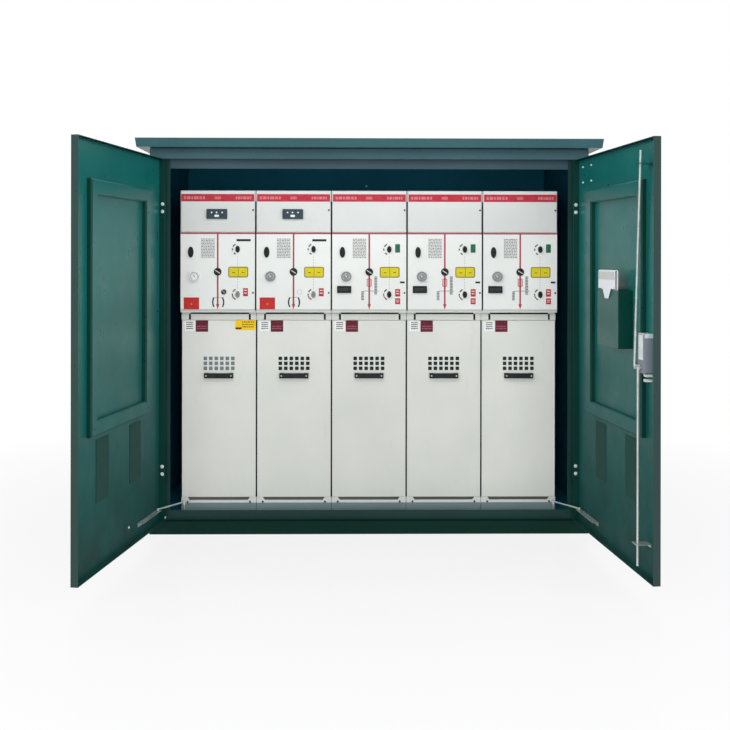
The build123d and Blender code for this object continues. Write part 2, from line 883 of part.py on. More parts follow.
with BuildPart() as instrument_doors:
    with BuildSketch(Plane.XZ.offset(-upper_face)):
        with Locations((0, instrument_bottom + instrument_door_height / 2)):
            with GridLocations(cubicle_pitch, 0, cubicle_count, 1):
                Rectangle(cubicle_pitch - 2 * panel_gap, instrument_door_height)
    extrude(amount=-panel_depth)
    door_faces = instrument_doors.faces().group_by(Axis.Y)[0]
    chamfer(door_faces.edges(), panel_edge)
save(instrument_doors, "instrument_doors")

with BuildPart() as operation_panels:
    for centre in cubicle_centres:
        with BuildSketch(Plane.YZ.offset(centre - cubicle_pitch / 2 + panel_gap)):
            with BuildLine():
                Polyline(
                    (upper_face + panel_depth, operation_bottom),
                    (upper_face + operation_bevel, operation_bottom),
                    (upper_face, operation_bottom + operation_bevel),
                    (upper_face, instrument_bottom - panel_joint),
                    (upper_face + panel_depth, instrument_bottom - panel_joint),
                    close=True,
                )
            make_face()
        extrude(amount=cubicle_pitch - 2 * panel_gap)
save(operation_panels, "operation_panels")

# Bar handles on the lower covers
with BuildPart() as cover_handles:
    for centre in cubicle_centres:
        with BuildSketch(Plane.XY.offset(grip_centre - grip_height / 2)):
            with Locations((centre, lower_face - grip_stand)):
                Rectangle(grip_length, grip_stand, align=(Align.CENTER, Align.MIN))
            with Locations((centre, lower_face - grip_stand + grip_metal)):
                Rectangle(
                    grip_length - 2 * grip_foot,
                    grip_stand,
                    align=(Align.CENTER, Align.MIN),
                    mode=Mode.SUBTRACT,
                )
        extrude(amount=grip_height)
    outer_edges = cover_handles.edges().filter_by(Axis.Z).group_by(Axis.Y)[0]
    fillet(outer_edges, grip_round)
save(cover_handles, "cover_handles")


# Devices on the operation panels
def device_places(across, drop, members=range(cubicle_count)):
    return [(cubicle_centres[member] + across, cubicle_top - drop) for member in members]


panel_front = Plane.XZ.offset(-upper_face)

with BuildPart() as panel_instruments:
    with BuildSketch(panel_front):
        with Locations(*device_places(gauge_across, gauge_drop)):
            Circle(gauge_radius)
    extrude(amount=gauge_height)
    with BuildSketch(panel_front.offset(gauge_height)):
        with Locations(*device_places(gauge_across, gauge_drop)):
            Circle(gauge_radius - gauge_rim)
    extrude(amount=-gauge_dish, mode=Mode.SUBTRACT)
    with BuildSketch(panel_front):
        with Locations(*device_places(0, disc_drop)):
            Circle(disc_radius)
    extrude(amount=disc_height)
    with BuildSketch(panel_front):
        with Locations(*device_places(charge_across, charge_drop, charge_cubicles)):
            RectangleRounded(charge_width, charge_height, charge_round)
    extrude(amount=charge_metal)
    counter_cubicles = [member for member in range(cubicle_count) if member not in charge_cubicles]
    with BuildSketch(panel_front):
        with Locations(*device_places(counter_across, counter_drop, counter_cubicles)):
            Rectangle(counter_width, counter_height)
    extrude(amount=counter_metal)
    with BuildSketch(panel_front.offset(counter_metal)):
        with Locations(*device_places(counter_across, counter_drop, counter_cubicles)):
            Rectangle(counter_width - 2 * counter_window_margin, counter_height - 2 * counter_window_margin)
    extrude(amount=-counter_window_depth, mode=Mode.SUBTRACT)
save(panel_instruments, "panel_instruments")

with BuildPart() as operating_sockets:
    with BuildSketch(panel_front):
        for drop in socket_drops:
            with Locations(*device_places(socket_across, drop)):
                Ellipse(socket_width / 2, socket_length / 2)
    extrude(amount=socket_height)
    rims = operating_sockets.faces().group_by(Axis.Y)[0]
    chamfer(rims.edges(), socket_round)
    with BuildSketch(panel_front.offset(socket_height)):
        for drop in socket_drops:
            with Locations(*device_places(socket_across, drop)):
                RegularPolygon(socket_bore, 6)
    extrude(amount=-socket_bore_depth, mode=Mode.SUBTRACT)
save(operating_sockets, "operating_sockets")

with BuildPart() as panel_latches:
    with BuildSketch(panel_front):
        with Locations(*device_places(latch_across, latch_drop)):
            Ellipse(latch_width / 2, latch_height / 2)
    extrude(amount=latch_metal)
    with BuildSketch(panel_front.offset(latch_metal)):
        with Locations(*device_places(latch_across, latch_drop)):
            Circle(latch_knob_radius)
    extrude(amount=latch_knob_height)
save(panel_latches, "panel_latches")
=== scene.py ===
import json
import math

import bmesh
import bpy
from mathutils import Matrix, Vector


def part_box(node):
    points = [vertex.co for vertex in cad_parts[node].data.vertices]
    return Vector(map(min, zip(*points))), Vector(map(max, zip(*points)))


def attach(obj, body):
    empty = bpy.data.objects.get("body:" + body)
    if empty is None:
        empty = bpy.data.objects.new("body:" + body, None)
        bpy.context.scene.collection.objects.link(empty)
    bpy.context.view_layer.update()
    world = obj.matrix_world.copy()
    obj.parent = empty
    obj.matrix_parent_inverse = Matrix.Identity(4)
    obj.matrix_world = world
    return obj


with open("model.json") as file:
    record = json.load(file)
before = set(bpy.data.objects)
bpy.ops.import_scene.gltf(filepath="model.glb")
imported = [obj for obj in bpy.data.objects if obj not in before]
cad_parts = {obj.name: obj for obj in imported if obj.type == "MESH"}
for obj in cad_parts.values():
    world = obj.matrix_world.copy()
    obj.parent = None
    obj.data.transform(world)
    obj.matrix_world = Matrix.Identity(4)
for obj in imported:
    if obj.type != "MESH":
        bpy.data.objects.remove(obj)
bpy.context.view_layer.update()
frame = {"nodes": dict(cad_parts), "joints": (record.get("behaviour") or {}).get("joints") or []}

# Looks of the outdoor ring main unit: finishes for the solids, the markings and small
# fittings that they carry, and a plain studio. The frame is in metres; faces are set out in millimetres.

nodes = frame["nodes"]
joints = {joint["name"]: joint for joint in frame["joints"]}
scene = bpy.context.scene
mm = 0.001

# Camera of the photograph: its place, turn to the right, roll, lens and the shift that levels it
camera_place = (-0.0878, -5.5616, 1.3339)
camera_turn = 0.746
camera_roll = 0.08
camera_level = 90
camera_sensor = 36
camera_lens = 50.93
camera_shift = -0.1468

# Studio, in metres and watts: each lamp's place, target, width, height and power.
# The lamps give no highlights of their own: what shines shows the white surroundings.
world_light = 0.38
studio_lamps = (
    ("key", (-0.6, -5.2, 4.6), (0, -0.4, 0.9), 4.5, 3.0, 95),
    ("front", (0, -6.0, 0.8), (0, -0.4, 0.6), 5.0, 2.0, 172),
    ("left_fill", (-4.0, -3.0, 3.1), (0.6, -0.8, 1.3), 2.2, 2.2, 105),
    ("right_fill", (4.0, -3.0, 3.1), (-0.6, -0.8, 1.3), 2.2, 2.2, 105),
    ("back", (0.5, 4.5, 4.2), (0, 0, 1.2), 4.0, 2.5, 120),
)
floor_half = 30
floor_cells = 8
floor_mottle_scale = 0.6
floor_pale = (0.36, 0.36, 0.36, 1)
floor_light = (0.4, 0.4, 0.4, 1)
floor_roughness = 0.22
floor_gloss_share = 0.15
floor_white_share = 0.85
floor_near = 1.2
floor_far = 3.2

# Cubicles
cubicle_names = [f"cubicle_{number}" for number in range(1, 6)]
cubicle_pitch = 375
feeder_cubicles = (0, 1)
fuse_cubicles = (2, 3, 4)
print_lift = 0.4
plate_lift = 1.0

# Markings on every front, in millimetres: across from the cubicle's left edge, down from its top.
# An area is (left, top, width, height).
edge_margin = 7
joint_margin = 4
band_top = 17
band_height = 37
band_runs = ((20, 29, 104, 14), (172, 29, 30, 14), (276, 29, 76, 14))
joint_line_drop = 208.5
joint_line_width = 7
mimic_across = 187.5
mimic_width = 8
mimic_tip = 588
arrow_length = 26
arrow_width = 17
text_plate = (104, 235, 70, 101)
text_marks = (106, 238, 66, 97)
text_row_count = 13
dash_shares = (0.1, 0.17, 0.08, 0.21, 0.12, 0.15, 0.09)
dash_gap_share = 0.045
yellow_label = (240, 377, 98, 53)
label_border = 4.5
label_round = 8
label_mark_shares = (0.2, 0.68)
label_mark_borders = 3
knob_across = 286.5
knob_drops = (290, 514)
scale_radius = 27
scale_width = 5.5
scale_arcs = ((112, 138), (168, 190), (206, 246))
red_arc = (140, 166)
link_runs = ((326, 372), (436, 484))
link_width = 2
link_dash = 7
disc_drop = 402
disc_height = 4
slash_half = (11, -7)
slash_width = 4
gauge_across = 73.5
gauge_drop = 425
gauge_radius = 20.6
gauge_face = 10
gauge_rim = (18.8, 20.5)
gauge_rim_lift = 1.2
gauge_reach_share = 1.4
dial_sides = 40
dial_metal = 0.6
dial_ticks = 19
dial_first = 135
dial_step = 15
tick_radii = (14, 17.5)
tick_width = 0.9
pointer_tip = (-7, -11)
pointer_metal = 1
hub_radius = 2.6
hub_profile = ((hub_radius, 0), (hub_radius, 1.5), (1, 2))
lock_across = 362
lock_drops = (96, 506)
lock_radius = 4.5
lock_profile = ((lock_radius, 0), (lock_radius, 3), (0.7 * lock_radius, 4))

# Markings on the feeder fronts
feeder_bar = (280, 240, 70, 11)
feeder_tag = (313, 483, 24, 40)
feeder_plate = (20, 529, 76, 59)
plate_dot = (58, 562)
dot_radius = 4.5
bracket_area = (163, 530, 54, 46)
bracket_line = 7
bracket_starts = (150, -30)
bracket_sweep = 60
bracket_top = (163, 528, 54, 2)
small_disc = (218, 502)
small_disc_radius = 13
small_slash = ((-5, -9), (6, 9))
small_slash_offsets = (-3, 3)
small_slash_width = 1.4
small_ring = (11, 12.5)
small_sides = 28
tag_margin = (5, 8)
tag_inset = (10, 12)
tag_rows = 2
tag_row_share = 0.35
charge_area = (132.5, 91.5, 102, 49)
charge_metal = 10
lamp_shares = (0.25, 0.49, 0.76)
lamp_radius = 4
lamp_profile = ((lamp_radius, 0), (lamp_radius, 1), (1, 3))
lamp_drop_share = 0.35
button_size = (22, 11)
button_drop_share = 0.58
button_round = 3
button_metal = 3

# Markings on the fuse fronts
fuse_area = (175.5, 435, 24, 40)
fuse_line = 3
fuse_round = 5
fuse_bar = (340, 449, 23, 9)
fuse_green_tag = (316, 264, 24, 42)
fuse_red_tags = ((316, 487, 25, 37), (316, 532, 25, 30))
tee_bar = (159, 495, 76, 3)
tee_columns = ((148, 498, 13, 46), (213, 424, 14, 92))
tee_row_pitch = 8
tee_row_share = 0.7
fuse_fills = ((179, 438, 4, 34), (192, 438, 4, 34))
counter_window = (36.5, 479.5, 54, 19)
counter_floor = 7
counter_wheels = 6
wheel_margin = (1, 2)
wheel_round = 1
wheel_metal = 1.5

# Lower covers: across from the cubicle's left edge, down from its top, depths from the cover's face
cover_depth = 15
white_plate = (15, 646, 52, 54)
white_marks = (24, 654, 34, 40)
white_rows = 4
maroon_plate = (71, 646, 62, 57)
maroon_marks = (77, 673, 50, 22)
maroon_rows = 2
amber_area = (269, 644, 100, 50)
amber_marks = (302, 651, 60, 36)
amber_rows = 3
amber_bar = (270, 681, 30, 9)
amber_cubicles = (0,)
# Black strips of painted shade: in the recess above each cover, in its slots, in the seams between covers and
# between the panels above.
recess_shade_area = (47, 604, 289, 10)
recess_shade_stand = 2
slot_areas = ((37.2, 614.2, 9.6, 27.6), (336.2, 614.2, 9.6, 27.6))
slot_inset = 1
seam_area = (-4, 646, 8, 882)
seam_inset = 5
panel_seam = (-3.9, 54, 7.8, 538)
panel_seam_lifts = (-17.9, -8)
clip_outline = ((322, 642), (336, 642), (336, 626))
clip_metal = 2
grip_drop = 921
grip_stand = 26
grip_screw_half = 62
grip_screw_radius = 4.2
kick_bolts_across = (32, 343)
kick_bolt_drop = 1553
kick_bolt_radius = 5
gauze_area = (99.5, 819, 176, 84)
gauze_depth = 2
gauze_metal = 1
cover_head = 60
notch_top = 135.5
notch_inset = 2

# Door leaves, as they stand open: along from the hinge axis, up from the floor, off the leaf's outside
leaf_skin = 7
leaf_return = 5
leaf_free_edge = 1000
hinge_strip = 40
leaf_flange_height = 1800
hinge_heights = (312, 1573)
hinge_bolt_half = 18
hinge_bolt_depth = 23
hinge_bolt_radius = 5
small_bolt_radius = 3.4
skin_bolts = {
    "left": ((405, 140),),
    "right": ((67, 1695), (67, 1768), (187, 1695), (187, 1768), (961, 1737), (961, 1700)),
}
stiffener_top = 29
stiffener_screws = ((210, 645), (838, 645), (210, 1620), (838, 1620))
card_band = (490.5, 1243, 204, 34)
lock_plates = (
    ((871, 1033, 69, 3), 7, 40),
    ((938, 1019, 2, 14), 7, 40),
    ((884, 932, 42, 99), 43, 45),
    ((905, 866, 30, 10), 7, 32),
    ((905, 846, 30, 10), 7, 32),
)

# Frame
jamb_bolt = (-991, 73)
wall_bolt = (0, 1760)
base_plug = (-664, 34)
plug_radius = 26
plug_profile = ((plug_radius, 0), (plug_radius, 1), (0.9 * plug_radius, 2))
plug_sides = 40
frieze_sheet = 2
upper_guide_height = 1000

# Heads of bolts and screws, in shares of their radius
washer_reach = 1.7
washer_share = 0.25
head_share = 1.1
chamfer_start = 0.75
chamfer_reach = 0.8
bolt_spin = 0.3
screw_dome = ((1, 0), (1, 0.3), (0.75, 0.55), (0.4, 0.65))
washer_sides = 24
hexagon_sides = 6
screw_sides = 18
turned_sides = 16
dot_sides = 20
corner_steps = 3

# Choice of faces, by the share of their normal along a direction
square_on = 0.5
partly_on = 0.1

# Colour sockets of a Mix node, the curve of a display, and the part of a noise's range that is used
mix_first = 6
mix_second = 7
display_top = 255
curve_limit = 0.04045
curve_slope = 12.92
curve_offset = 0.055
curve_power = 2.4
noise_low = 0.3
noise_high = 0.7

# Roughness and specular level of the coats that are duller than the doors'
frame_gloss = (0.36, 0.25)
inner_gloss = (0.5, 0.2)
dull_gloss = (0.5, 0.1)


def srgb(colour):
    """Linear colour from three display values of 0 to 255."""
    def linear(value):
        share = value / display_top
        if share <= curve_limit:
            return share / curve_slope
        return ((share + curve_offset) / (1 + curve_offset)) ** curve_power
    return (*map(linear, colour), 1.0)


class Finish:
    """A material built up step by step around one Principled shader, in the piece's own space."""

    def __init__(self, name, roughness, metallic=0.0, specular=0.5):
        self.material = bpy.data.materials.new(name)
        self.material.use_nodes = True
        self.nodes = self.material.node_tree.nodes
        self.links = self.material.node_tree.links
        self.shader = self.nodes["Principled BSDF"]
        self.shader.inputs["Roughness"].default_value = roughness
        self.shader.inputs["Metallic"].default_value = metallic
        self.shader.inputs["Specular IOR Level"].default_value = specular
        self.place = self.nodes.new("ShaderNodeTexCoord").outputs["Object"]

    def put(self, kind, values, **settings):
        """Add a node, set its options and its inputs: a socket is linked, anything else is a value."""
        node = self.nodes.new(kind)
        for option, value in settings.items():
            setattr(node, option, value)
        for key, value in values.items():
            if isinstance(value, bpy.types.NodeSocket):
                self.links.new(value, node.inputs[key])
            else:
                node.inputs[key].default_value = value
        return node

    def noise(self, scale, detail=3.0, roughness=0.55, stretch=(1, 1, 1)):
        mapped = self.put("ShaderNodeMapping", {"Vector": self.place, "Scale": stretch})
        values = {"Vector": mapped.outputs[0], "Scale": scale, "Detail": detail, "Roughness": roughness}
        return self.put("ShaderNodeTexNoise", values).outputs["Fac"]

    def cells(self, scale):
        return self.put("ShaderNodeTexVoronoi", {"Vector": self.place, "Scale": scale}).outputs["Color"]

    def spread(self, value, low, high, to_low=0.0, to_high=1.0):
        """A value between two limits, carried over to another range."""
        values = {"Value": value, "From Min": low, "From Max": high, "To Min": to_low, "To Max": to_high}
        return self.put("ShaderNodeMapRange", values).outputs[0]

    def mottle(self, scale, detail, low=0.0, high=1.0):
        """Noise over its usual range, carried over to another one."""
        return self.spread(self.noise(scale, detail), noise_low, noise_high, low, high)

    def calc(self, operation, first, second):
        return self.put("ShaderNodeMath", {0: first, 1: second}, operation=operation).outputs[0]

    def mix(self, share, first, second):
        """Blend of two colours, each a socket, linear values or three display values."""
        ends = [srgb(end) if isinstance(end, tuple) and len(end) == 3 else end for end in (first, second)]
        values = {"Factor": share, mix_first: ends[0], mix_second: ends[1]}
        return self.put("ShaderNodeMix", values, data_type="RGBA").outputs[2]

    def axis(self, name):
        return self.put("ShaderNodeSeparateXYZ", {0: self.place}).outputs[name]

    def lattice(self, axes, pitch):
        """Crests of two crossing waves, from -1 to 1."""
        waves = []
        for name in axes:
            along = self.calc("MULTIPLY", self.axis(name), 2 * math.pi / pitch)
            waves.append(self.calc("SINE", along, 0.0))
        return self.calc("MAXIMUM", *waves)

    def paint(self, colour):
        self.links.new(colour, self.shader.inputs["Base Color"])

    def gloss(self, value):
        self.links.new(value, self.shader.inputs["Roughness"])

    def relief(self, *layers):
        """Bump from layers of (height, depth in metres), one on top of the other."""
        normal = None
        for height, depth in layers:
            values = {"Height": height, "Strength": 1.0, "Distance": depth}
            if normal is not None:
                values["Normal"] = normal
            normal = self.put("ShaderNodeBump", values).outputs[0]
        self.links.new(normal, self.shader.inputs["Normal"])


def housing_paint(name, colour, light, dust, roughness=0.3, specular=0.3, grime_and_shade=None):
    """Semi-gloss coat on sheet steel: slow changes of tone, orange peel, faint dust and, if asked, painted
    shade that darkens the colour towards the floor, where the coat also turns matt."""
    finish = Finish(name, roughness, specular=specular)
    tone = finish.mix(finish.mottle(scale=2.2, detail=4.0), colour, light)
    height = finish.axis("Z")
    sheen = finish.mottle(scale=9, detail=5.0, low=roughness - 0.04, high=roughness + 0.07)
    # Painted shade, if asked: the colour darkens towards the floor, and the coat turns matt there.
    if grime_and_shade:
        film = finish.mottle(scale=5, detail=5.0, low=0.7)
        fade = finish.spread(height, low=0.1, high=1.2, to_low=0.9, to_high=0.0)
        film = finish.calc("MULTIPLY", film, fade)
        tone = finish.mix(film, tone, grime_and_shade)
        matt = finish.spread(height, low=0.2, high=1.0, to_low=0.4, to_high=0.0)
        sheen = finish.calc("ADD", sheen, matt)
    low_down = finish.spread(height, low=0.0, high=0.5, to_low=0.08, to_high=0.02)
    specks = finish.spread(finish.noise(scale=38, detail=6.0, roughness=0.7), low=0.45, high=0.75)
    finish.paint(finish.mix(finish.calc("MULTIPLY", low_down, specks), tone, dust))
    finish.gloss(sheen)
    sheet_waves = finish.noise(scale=3.2, detail=1.0)
    finish.relief((sheet_waves, 0.0007), (finish.noise(scale=620, detail=2.0), 0.000012))
    return finish.material


def cubicle_paint(name, colour, shade_colour, grime_and_shade):
    """Fine-textured pale powder coat with a trace of handling grime."""
    finish = Finish(name, roughness=0.42)
    tone = finish.mix(finish.mottle(scale=3.5, detail=4.0), colour, shade_colour)
    marks = finish.noise(scale=14, detail=7.0, roughness=0.7, stretch=(1, 1, 0.4))
    finish.paint(finish.mix(finish.spread(marks, low=0.6, high=0.85, to_high=0.2), tone, grime_and_shade))
    finish.gloss(finish.mottle(scale=20, detail=4.0, low=0.36, high=0.5))
    finish.relief((finish.noise(scale=900, detail=2.0), 0.00003))
    return finish.material


def zinc_plate(name, colour, dull, metallic=0.75):
    """Passivated zinc: spangle, light streaks and dull patches."""
    finish = Finish(name, roughness=0.38, metallic=metallic)
    spangle = finish.spread(finish.cells(scale=160), low=0.0, high=1.0, to_high=0.45)
    patches = finish.spread(finish.noise(scale=24, detail=6.0), low=0.45, high=0.7, to_high=0.6)
    finish.paint(finish.mix(patches, finish.mix(spangle, colour, dull), dull))
    finish.gloss(finish.mottle(scale=60, detail=4.0, low=0.3, high=0.5))
    finish.relief((finish.noise(scale=420, detail=3.0), 0.00003))
    return finish.material


def moulded_plastic(name, colour, worn, roughness=0.42):
    """Moulded plastic with a fine grain and rubbed, slightly paler patches."""
    finish = Finish(name, roughness, specular=0.3)
    rub = finish.spread(finish.noise(scale=45, detail=5.0), low=0.45, high=0.8, to_high=0.55)
    finish.paint(finish.mix(rub, colour, worn))
    finish.gloss(finish.mottle(scale=70, detail=3.0, low=roughness - 0.08, high=roughness + 0.1))
    finish.relief((finish.noise(scale=1500, detail=2.0), 0.00003))
    return finish.material


def printed(name, colour, faded, roughness=0.35):
    """Printed or foil marking: a slightly mottled colour under a thin film."""
    finish = Finish(name, roughness, specular=0.25)
    uneven = finish.spread(finish.noise(scale=60, detail=5.0, roughness=0.65), low=0.35, high=0.75)
    finish.paint(finish.mix(uneven, colour, faded))
    finish.gloss(finish.mottle(scale=130, detail=3.0, low=roughness - 0.06, high=roughness + 0.1))
    finish.relief((finish.noise(scale=500, detail=2.0), 0.00002))
    return finish.material


def paper(name, colour, crease):
    """Uncoated card: fibre, a little unevenness and soft creases."""
    finish = Finish(name, roughness=0.75)
    fibre = finish.noise(scale=300, detail=6.0, roughness=0.7, stretch=(1, 1, 0.3))
    finish.paint(finish.mix(finish.spread(fibre, low=0.35, high=0.7, to_high=0.3), colour, crease))
    creases = finish.noise(scale=18, detail=3.0)
    finish.relief((creases, 0.0008), (finish.noise(scale=900, detail=3.0), 0.00003))
    return finish.material


def gauze(name, wire, hole, axes, pitch=0.004):
    """Woven wire: a lattice of wires over dark holes, with dust caught in places."""
    finish = Finish(name, roughness=0.6, specular=0.25)
    weave = finish.lattice(axes, pitch)
    wires = finish.spread(weave, noise_low, noise_high)
    dust = finish.spread(finish.noise(scale=30, detail=5.0), low=0.4, high=0.8, to_high=0.35)
    finish.paint(finish.mix(dust, finish.mix(wires, hole, wire), wire))
    finish.relief((weave, 0.0004), (finish.noise(scale=700, detail=2.0), 0.00003))
    return finish.material


green = housing_paint("housing_green", (10, 84, 80), (14, 94, 90), (60, 88, 84))
# The leaves' green darkens towards the floor: painted shade.
leaf_green = housing_paint("leaf_green", (11, 96, 92), (15, 106, 102), (60, 88, 84), grime_and_shade=(2, 32, 29))
# Painted shade: a darker copy of the leaf green for the free-edge returns, which face forwards into shade.
edge_shade_green = housing_paint("edge_shade_green", (28, 50, 47), (34, 56, 53), (70, 82, 78))
# Painted shade: a darker copy of the housing green for the base frame and its plug, whose front stands in
# shade.
base_shade_green = housing_paint("base_shade_green", (6, 36, 30), (10, 42, 36), (40, 56, 50), *dull_gloss)
# Painted shade: a dark green for the underside of each leaf's top flange.
flange_shade_green = housing_paint("flange_shade_green", (4, 26, 30), (6, 32, 36), (30, 44, 46), *dull_gloss)
# Painted shade: a darker green for faces of the stiffeners, hinge strips and document pocket that look
# towards the free edge.
shade_green = housing_paint("shade_green", (6, 50, 44), (8, 56, 50), (60, 74, 68))
# Painted shade: a darker copy of the housing green for the posts, sill and frame hinges, whose faces towards
# the front stand in shade.
frame_shade_green = housing_paint("frame_shade_green", (12, 44, 41), (16, 52, 48), (62, 72, 66), *frame_gloss)
roof_green = housing_paint("roof_green", (40, 76, 82), (46, 84, 90), (92, 106, 104), *frame_gloss)
frieze_green = housing_paint("frieze_green", (48, 78, 86), (56, 86, 94), (88, 100, 102), *frame_gloss)
lintel_green = housing_paint("lintel_green", (46, 66, 74), (52, 74, 82), (88, 96, 98), *frame_gloss)
# Painted shade: the faces inside the housing get a blue coat of their own, in place of the bluish shade in
# there.
inner_shade_blue = housing_paint("inner_shade_blue", (24, 104, 128), (28, 114, 140), (40, 84, 96), *inner_gloss)
screen_green = gauze("screen_green", (10, 64, 59), (7, 48, 44), ("Y", "Z"))
white_paint = cubicle_paint("cubicle_white", (226, 228, 226), (220, 222, 220), (170, 168, 156))
upper_paint = cubicle_paint("upper_white", (206, 209, 208), (200, 203, 202), (164, 162, 150))
cover_paint = cubicle_paint("cover_white", (222, 223, 217), (214, 216, 210), (160, 158, 146))
# Painted shade: a dark grey for the back of the kick notch under each cover.
notch_shade_paint = cubicle_paint("notch_shade_grey", (96, 96, 88), (86, 86, 80), (70, 68, 62))
plinth_paint = cubicle_paint("plinth_blue_grey", (134, 152, 153), (124, 142, 144), (100, 106, 102))
zinc = zinc_plate("zinc", (214, 222, 218), (168, 178, 176))
bright_zinc = zinc_plate("bright_zinc", (238, 242, 242), (206, 214, 214), metallic=0.3)
dark_zinc = zinc_plate("dark_zinc", (92, 94, 90), (70, 72, 70))
lock_grey = cubicle_paint("lock_grey", (126, 132, 142), (116, 122, 132), (92, 96, 102))
black_plastic = moulded_plastic("black_plastic", (20, 25, 27), (44, 50, 52))
wheel_plastic = moulded_plastic("wheel_plastic", (44, 52, 54), (58, 66, 68))
slate_plastic = moulded_plastic("slate_plastic", (46, 60, 70), (62, 76, 86))
grey_plastic = moulded_plastic("grey_plastic", (132, 137, 137), (150, 155, 154))
white_plastic = moulded_plastic("white_plastic", (226, 228, 228), (210, 213, 212))
# Painted shade: a black moulded finish for the strips in recesses, slots and seams.
shade_black = moulded_plastic("shade_black", (16, 20, 22), (28, 32, 34), roughness=0.7)
pocket_paint = housing_paint("pocket_green", (12, 76, 71), (16, 86, 81), (60, 84, 80))
card_paper = paper("card_paper", (236, 237, 242), (214, 215, 222))
red_print = printed("red_print", (168, 38, 52), (180, 54, 68))
dark_red_print = printed("dark_red_print", (158, 48, 62), (170, 62, 76))
rose_print = printed("rose_print", (198, 118, 128), (190, 108, 118))
maroon_print = printed("maroon_print", (150, 92, 104), (138, 78, 92))
red_plate = printed("red_plate", (178, 36, 32), (190, 52, 44))
dark_red_plate = printed("dark_red_plate", (84, 14, 34), (112, 34, 52))
yellow_print = printed("yellow_print", (212, 197, 38), (202, 185, 28))
amber_plate = printed("amber_plate", (244, 200, 26), (236, 188, 20))
green_print = printed("green_print", (30, 88, 68), (46, 102, 82))
olive_print = printed("olive_print", (108, 102, 38), (124, 116, 50))
black_print = printed("black_print", (26, 30, 32), (44, 48, 50))
text_print = printed("text_print", (220, 221, 219), (212, 214, 212))
text_ink = printed("text_ink", (104, 108, 108), (124, 128, 128))
pink_print = printed("pink_print", (232, 180, 182), (226, 168, 172))
pale_grey_print = printed("pale_grey_print", (204, 206, 204), (194, 197, 196))
line_print = printed("line_print", (132, 136, 136), (150, 154, 154))
white_print = printed("white_print", (238, 240, 240), (228, 230, 230))
vent_gauze_grey = gauze("vent_gauze_grey", (128, 142, 146), (84, 96, 100), ("X", "Z"))
vent_gauze_dark = gauze("vent_gauze_dark", (40, 48, 50), (16, 20, 22), ("X", "Z"))


def coat_nodes(material, *names):
    for name in names:
        nodes[name].data.materials.clear()
        nodes[name].data.materials.append(material)


def coat_faces(name, material, chosen):
    """Give the faces of a node that a test picks, by their centre and normal, a material of their own."""
    mesh = nodes[name].data
    mesh.materials.append(material)
    for polygon in mesh.polygons:
        if chosen(polygon.center, polygon.normal):
            polygon.material_index = len(mesh.materials) - 1


def looking(way, low=-math.inf, high=math.inf):
    """Test for faces that look along a direction and lie between two distances along it."""
    way = Vector(way)
    return lambda centre, normal: normal.dot(way) > square_on and low < centre.dot(way) < high


class Face:
    """A flat face to set small things out on, in millimetres along two directions and off the face."""

    def __init__(self, origin, first, second, out):
        self.origin = Vector(origin)
        self.first = Vector(first)
        self.second = Vector(second)
        self.out = Vector(out)

    def point(self, along, across, lift):
        return self.origin + mm * (self.first * along + self.second * across + self.out * lift)


def leaf_face(side):
    """Outside of a leaf as it stands open: along from the hinge axis, up from the floor, and inwards."""
    joint = joints[f"{side}_door_swing"]
    turn = math.radians(joint["range_deg"][1])
    way = 1 if side == "left" else -1
    along = (way * math.cos(turn), -math.sin(turn), 0)
    inward = (way * math.sin(turn), math.cos(turn), 0)
    return Face((*joint["pos_m"][:2], 0), along, (0, 0, 1), inward)


leaves = {side: leaf_face(side) for side in ("left", "right")}


def dress_housing():
    coat_nodes(green, "left_wall", "right_wall", "back_wall")
    # The frame takes a darker green: painted shade.
    coat_nodes(frame_shade_green, "left_post", "right_post", "sill", "frame_hinges")
    # The base frame takes a darker green: painted shade.
    coat_nodes(base_shade_green, "base_frame")
    coat_nodes(roof_green, "roof")
    coat_nodes(frieze_green, "frieze")
    coat_nodes(lintel_green, "lintel")
    # The floor plate inside takes the blue of painted shade.
    coat_nodes(inner_shade_blue, "floor_plate")
    for side, leaf in leaves.items():
        door = f"{side}_door"
        coat_nodes(leaf_green, door, f"{door}_stiffener", f"{door}_hinges")
        coat_nodes(screen_green, f"{door}_screens")
        axis = leaf.first.dot(leaf.origin)
        # Painted shade on the free-edge returns.
        coat_faces(door, edge_shade_green, looking(leaf.first, low=axis + leaf_free_edge * mm))
        # Painted shade on faces that look towards the free edge: in the hinge strip here, and on the
        # stiffener below.
        coat_faces(door, shade_green, looking(leaf.first, high=axis + hinge_strip * mm))
        # Painted shade on the underside of the top flange.
        coat_faces(door, flange_shade_green, looking((0, 0, -1), high=-leaf_flange_height * mm))
        coat_faces(f"{door}_stiffener", shade_green, looking(leaf.first))
    low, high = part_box("back_wall")
    # Painted shade: the inner faces of the back wall, the side walls and the roof take the blue coat.
    coat_faces("back_wall", inner_shade_blue, looking((0, -1, 0)))
    coat_faces("left_wall", inner_shade_blue, lambda centre, normal: normal.x > partly_on)
    coat_faces("right_wall", inner_shade_blue, lambda centre, normal: normal.x < -partly_on)
    coat_faces(
        "roof",
        inner_shade_blue,
        lambda centre, normal: abs(centre.x) < high.x and abs(centre.y) < low.y and normal.z < square_on,
    )


